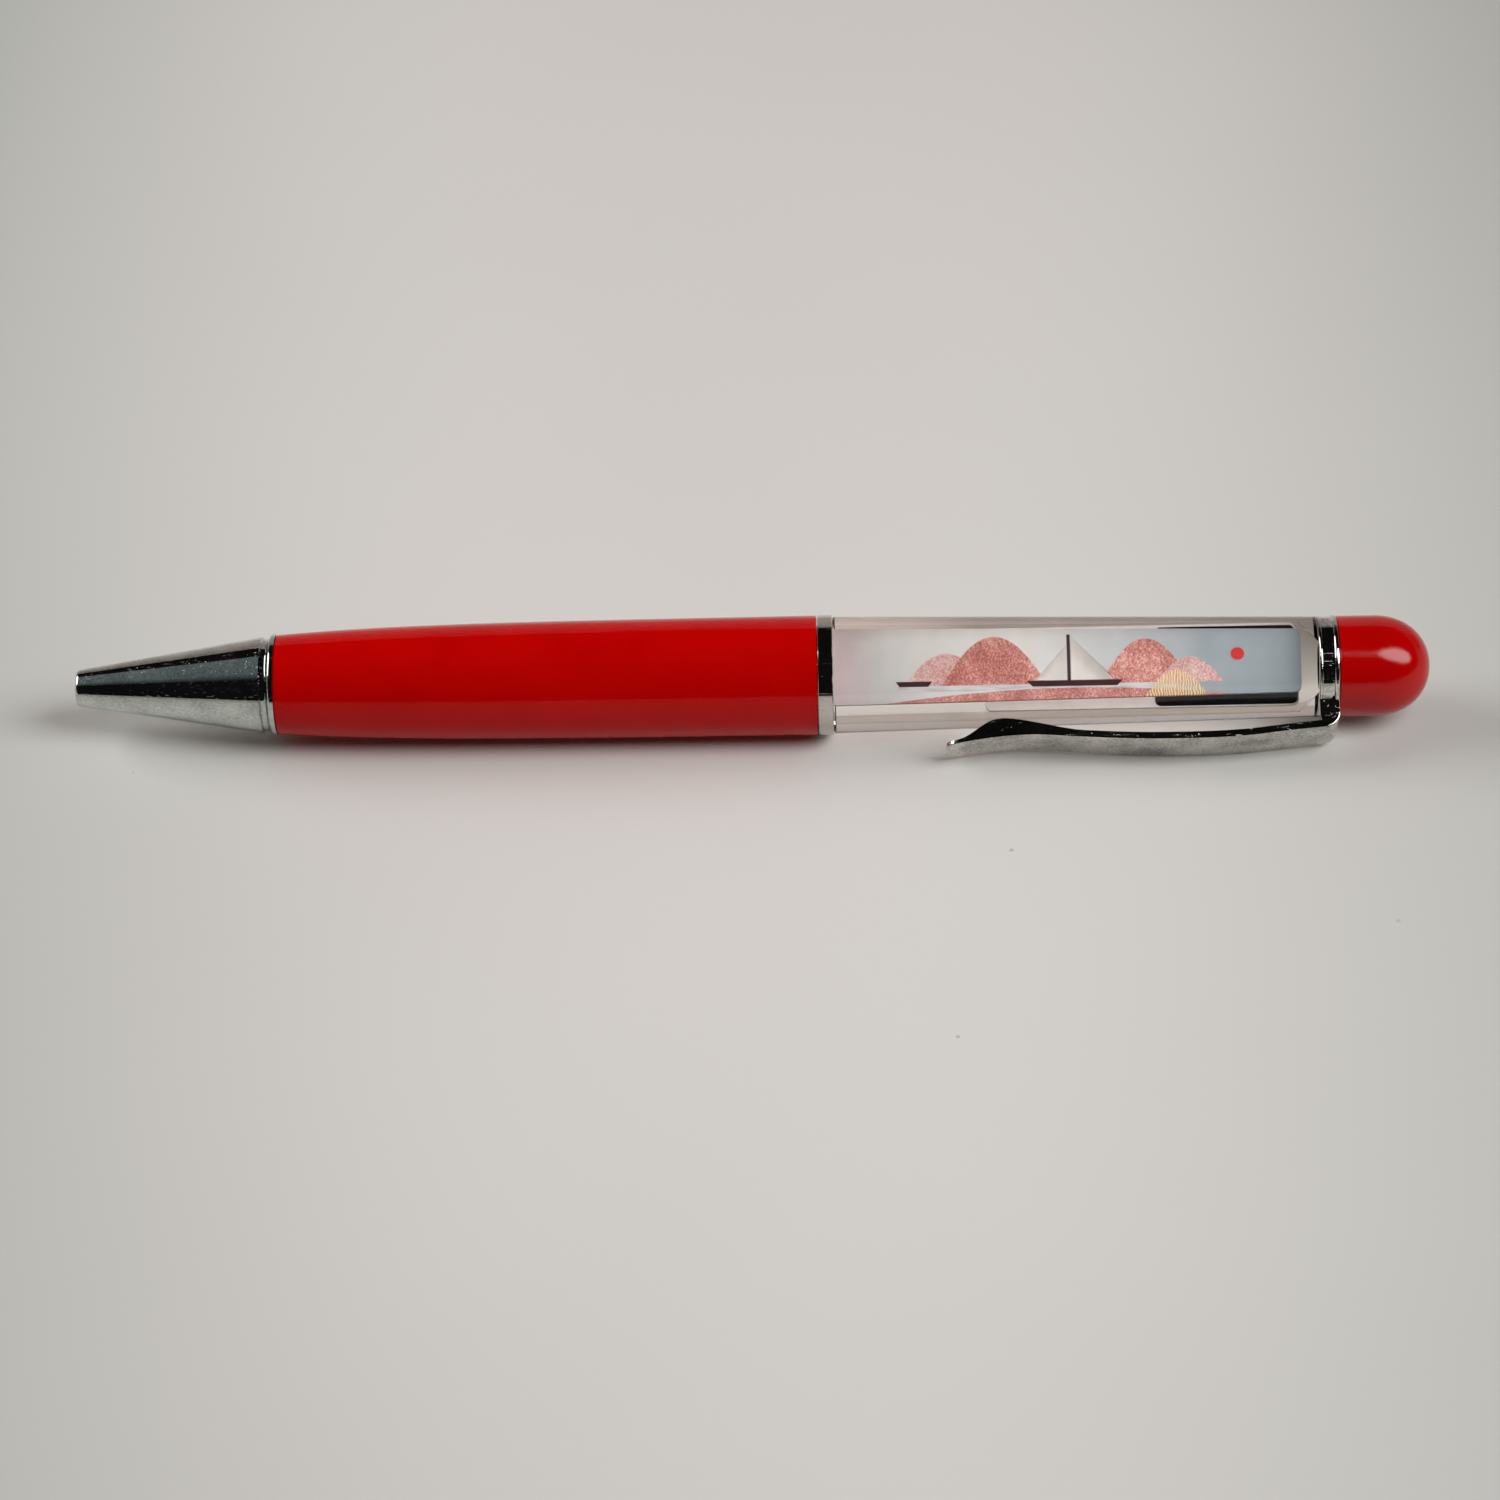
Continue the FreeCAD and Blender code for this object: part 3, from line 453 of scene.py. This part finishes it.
# the rod magnifies the picture across the pen, so a round sun is printed flatter
sun_x = work("SUBTRACT", along, sun_at)
sun_y = work("MULTIPLY", work("SUBTRACT", up, sun_up), rod_magnifies)
off_sun = work("SQRT", work("ADD", work("MULTIPLY", sun_x, sun_x),
                            work("MULTIPLY", sun_y, sun_y)))
picture = laid_over(tree, picture, srgb(176, 30, 30), between(off_sun, -1.0, sun_r, 0.04))
blades = put(tree, "TexWave", {"Vector": flat, "Scale": 1.1, "Distortion": 6.0, "Detail": 2.0,
                               "Detail Scale": 1.2},
             wave_type="BANDS", bands_direction="X").outputs["Fac"]
clump = hill(middle=36.6, half=2.6, height=1.5, foot=-1.9)
tuft = work("MULTIPLY", inside(clump, 0.1), work("GREATER_THAN", blades, 0.3))
straw = graded(tree, blades, [(0.3, srgb(150, 118, 70)), (0.9, srgb(214, 194, 150))])
picture = laid_over(tree, picture, straw, tuft)
dots = put(tree, "TexVoronoi", {"Vector": flat, "Scale": 5.0, "Randomness": 0.2})
screen = graded(tree, dots.outputs["Distance"], [(0.2, 0.93), (0.45, 1.0)])
picture = laid_over(tree, picture, screen, 1.0, "MULTIPLY")
tree.links.new(picture, shader.inputs["Base Color"])
let_lamps_through(tree, shader, (0.97, 0.95, 0.95, 1))
coat_node("picture_print", print_finish)

# Float: a strip of white plastic, with a black film on its rear half. It is a little heavier
# than the oil and slides slowly behind the picture when the pen is tipped.
white_strip, tree, shader, place = new_finish("white_strip_gloss")
vary(tree, shader, "Base Color", grain(tree, place, 1.5 * mm),
     [(0.3, srgb(198, 197, 196)), (0.7, srgb(208, 207, 206))])
vary(tree, shader, "Roughness", grain(tree, place, 0.2 * mm), [(0.3, 0.3), (0.7, 0.42)])
coat_node("float_strip", white_strip)
black_strip, tree, shader, place = new_finish("black_strip_ink", Specular_IOR_Level=0.1)
vary(tree, shader, "Base Color", grain(tree, place, 0.8 * mm),
     [(0.3, srgb(5, 4, 7)), (0.7, srgb(11, 10, 14))])
vary(tree, shader, "Roughness", grain(tree, place, 0.15 * mm), [(0.3, 0.3), (0.7, 0.45)])
coat_node("float_shade", black_strip)

# Twist mechanism: a white cam sleeve pressed over the plug's stub, a white guide tube pressed
# into the red barrel, and a black carrier whose lugs run in the slots of both. They are
# moulded plastic, left as they come from the mould.


def moulded(name, dark, light, size=0.4 * mm):
    material, tree, shader, place = new_finish(name)
    vary(tree, shader, "Base Color", grain(tree, place, 3 * size), [(0.3, dark), (0.7, light)])
    vary(tree, shader, "Roughness", grain(tree, place, size), [(0.3, 0.34), (0.7, 0.5)])
    emboss(tree, shader, grain(tree, place, size / 4, 3), 0.003 * mm)
    return material


coat_node("cam_sleeve", moulded("white_sleeve_moulding", srgb(220, 219, 214),
                                srgb(231, 230, 226)))
coat_node("guide_tube", moulded("white_guide_moulding", srgb(214, 213, 209),
                                srgb(226, 225, 221)))
coat_node("refill_carrier", moulded("black_carrier_moulding", srgb(20, 20, 21),
                                    srgb(31, 31, 32)))

# Refill: a natural plastic tube of black ink, stopped behind with amber grease, and a brass
# point whose shank plugs into the tube and whose lip holds a hard steel ball.
coat_node("refill_tube", moulded("milky_tube", srgb(206, 205, 196), srgb(222, 221, 214)))
coat_node("ink_column", moulded("black_writing_ink", srgb(9, 9, 14), srgb(16, 16, 24)))
coat_node("ink_grease", moulded("amber_grease", srgb(196, 182, 140), srgb(214, 202, 164)))
brass, tree, shader, place = new_finish("turned_brass", Metallic=1.0)
turning = grain(tree, place, 0.1 * mm, 3, (8, 0.5, 0.5))
vary(tree, shader, "Base Color", turning, [(0.3, srgb(196, 160, 96)), (0.7, srgb(222, 190, 126))])
vary(tree, shader, "Roughness", turning, [(0.3, 0.16), (0.7, 0.3)])
coat_node("refill_point", brass)
coat_node("writing_ball", chrome("ball_steel_polish", wear=0.1, dull=srgb(186, 187, 190),
                                 bright=srgb(200, 201, 204)))

# Return spring: hard-drawn spring steel wire, wound with open turns and left bright. It sits
# in the nose cone's seat and pushes the refill back.
wire, tree, shader, place = new_finish("drawn_spring_wire", Metallic=1.0)
vary(tree, shader, "Base Color", grain(tree, place, 0.4 * mm),
     [(0.3, srgb(150, 150, 152)), (0.7, srgb(184, 184, 186))])
vary(tree, shader, "Roughness", grain(tree, place, 0.1 * mm), [(0.3, 0.2), (0.7, 0.35)])
coat_node("return_spring", wire)

# Clip: a casting, chrome plated, whose collar is trapped between the clear barrel and the
# cap. The plating is a little wavy over the casting and is worn as the nose cone's is.
coat_node("clip", chrome("cast_chrome", wear=0.8, dull=srgb(150, 148, 143),
                         bright=srgb(238, 236, 230)))

# Cap: moulded in the barrel's red gloss plastic and cemented over the rear spigot. Its dome
# has a fine orange-peel grain that breaks up the light's reflection.
coat_node("cap", red_gloss("red_cap_gloss", red=170, relief=0.009 * mm, relief_size=0.15 * mm,
                           shine=0.4))

# The table: a sheet of pale warm grey board that lies under the pen and is curved up behind
# it as a backdrop. Painted shade darkens it outwards in a long oval, where the light falls off,
# painted light makes it lighter again far behind, and it bears a few specks of dust.
table_low = -6.33 * mm
table_length = 3.0
table_depth = 1.3
table_middle = 0.05
near_wall = 0.69
wall_height = 0.4
cove_radius = 0.15
painted_falloff_start = 32 * mm
painted_falloff_end = 227 * mm
deepest_painted_falloff = 0.5
painted_light_behind_from, painted_light_behind_to = 0.38, 0.48
dust_spacing = 21 * mm
dust_share = 0.012
bpy.ops.object.select_all(action="DESELECT")
bpy.ops.mesh.primitive_plane_add(size=1, location=(0, table_middle, table_low))
table = bpy.context.object
table.name = table.data.name = "table_and_backdrop"
table.scale = (table_length, table_depth, 1)
bpy.ops.object.transform_apply(location=True, rotation=True, scale=True)
select_only(table, "EDGE", lambda ends: all(end.y > near_wall for end in ends))
bpy.ops.mesh.extrude_region_move(TRANSFORM_OT_translate={"value": (0, 0.0, wall_height)})
select_only(table, "EDGE", lambda ends: all(end.y > near_wall and end.z < wall_height / 2
                                            for end in ends))
bpy.ops.mesh.bevel(offset=cove_radius, segments=12, affect="EDGES")
bpy.ops.object.mode_set(mode="OBJECT")
bpy.ops.object.shade_smooth_by_angle(angle=math.radians(30))
board, tree, shader, place = new_finish("pale_board", Roughness=0.6, Specular_IOR_Level=0.15)
paper = graded(tree, grain(tree, place, 120 * mm, 3),
               [(0.35, srgb(209, 209, 205)), (0.65, srgb(212, 212, 208))])
# painted shade: the board is darkened outwards from the pen in a long oval, as light falls off
oval = put(tree, "Mapping", {"Vector": place, "Location": (10.2 * mm, -35.8 * mm, 0),
                             "Scale": (1.194, 0.264, 0)})
outwards = put(tree, "VectorMath", {0: oval.outputs["Vector"]}, operation="LENGTH")
painted_falloff_shade = rising(tree, outwards.outputs["Value"], painted_falloff_start, painted_falloff_end, "SMOOTHSTEP")
painted_falloff_shade = maths(tree, "MINIMUM", painted_falloff_shade, deepest_painted_falloff)
paper = laid_over(tree, paper, srgb(102, 121, 113), painted_falloff_shade)
# painted light: the board's far end, well behind the pen, is made lighter
behind = put(tree, "SeparateXYZ", {"Vector": place}).outputs["Y"]
paper = laid_over(tree, paper, srgb(226, 220, 214),
                  rising(tree, behind, painted_light_behind_from, painted_light_behind_to))
specks = put(tree, "TexVoronoi", {"Vector": place, "Scale": 1 / dust_spacing})
dust = maths(tree, "LESS_THAN", specks.outputs["Distance"], dust_share)
paper = laid_over(tree, paper, srgb(184, 180, 173), dust)
tree.links.new(paper, shader.inputs["Base Color"])
table.data.materials.append(board)

# The light: a large oval soft box over the cap's end and a smaller one low beyond the nose,
# a little behind the pen, in a dark studio. One dim grey panel overhead on the left and the
# pale wall far behind show in the plated parts.


def soft_box(name, direction, distance, width, depth, glow):
    # faces the pen from a direction; the width runs along the pen and the depth across it
    outward = Vector(direction).normalized()
    along_pen = Vector((1, 0, 0)) - outward * outward.x
    along_pen.normalize()
    across = outward.cross(along_pen)
    bpy.ops.object.light_add(type="AREA", location=outward * distance)
    box = bpy.context.object
    box.name = name
    box.data.shape = "ELLIPSE"
    box.data.size = width
    box.data.size_y = depth
    box.data.energy = glow * math.pi * math.pi / 4 * width * depth
    box.rotation_euler = Matrix((along_pen, across, outward)).transposed().to_euler()


soft_box("right_soft_box", direction=(0.66, -0.30, 0.70), distance=0.6, width=0.64,
         depth=0.30, glow=7.0)
soft_box("left_soft_box", direction=(-0.85, 0.22, 0.50), distance=0.6, width=0.42,
         depth=0.44, glow=5.9)
room = bpy.data.worlds.new("room")
bpy.context.scene.world = room
room.use_nodes = True
tree = room.node_tree
sky = tree.nodes["Background"]
toward = tree.nodes.new("ShaderNodeTexCoord").outputs["Generated"]
heading = put(tree, "SeparateXYZ", {"Vector": toward}).outputs
frontward = maths(tree, "MULTIPLY", heading["Y"], -1.0)
climb = maths(tree, "ARCTAN2", heading["Z"], frontward)
round_pen = rising(tree, climb, -math.pi, math.pi)


def at_angle(degrees):
    # a place on the ramps round the pen: 0 is level in front, 90 overhead, 180 level behind
    return (degrees + 180) / 360


below, darkness, pale_wall = 0.45, 0.006, 0.37
panel_from, panel_to = -0.36, -0.39
dark_room = graded(tree, round_pen, [
    (at_angle(-2), below), (at_angle(0), darkness), (at_angle(146), darkness),
    (at_angle(149), pale_wall), (at_angle(180), pale_wall),
])
panel_glow = graded(tree, round_pen, [
    (at_angle(52), 0.0), (at_angle(60), (0.05, 0.06, 0.065, 1)),
    (at_angle(71), (0.12, 0.145, 0.155, 1)), (at_angle(114), (0.15, 0.18, 0.185, 1)),
    (at_angle(117), 0.0),
])
lean = maths(tree, "DIVIDE", heading["X"], heading["Z"])
leftward = rising(tree, lean, panel_from, panel_to)
panel = laid_over(tree, (0, 0, 0, 1), panel_glow, leftward)
seen = laid_over(tree, dark_room, panel, 1.0, "ADD")
path = tree.nodes.new("ShaderNodeLightPath")
soft_fill = (0.105, 0.055, 0.052, 1)
tree.links.new(laid_over(tree, soft_fill, seen, path.outputs["Is Glossy Ray"]),
               sky.inputs["Color"])
sky.inputs["Strength"].default_value = 1.0

bpy.context.scene.view_settings.view_transform = "Standard"
bpy.context.view_layer.update()
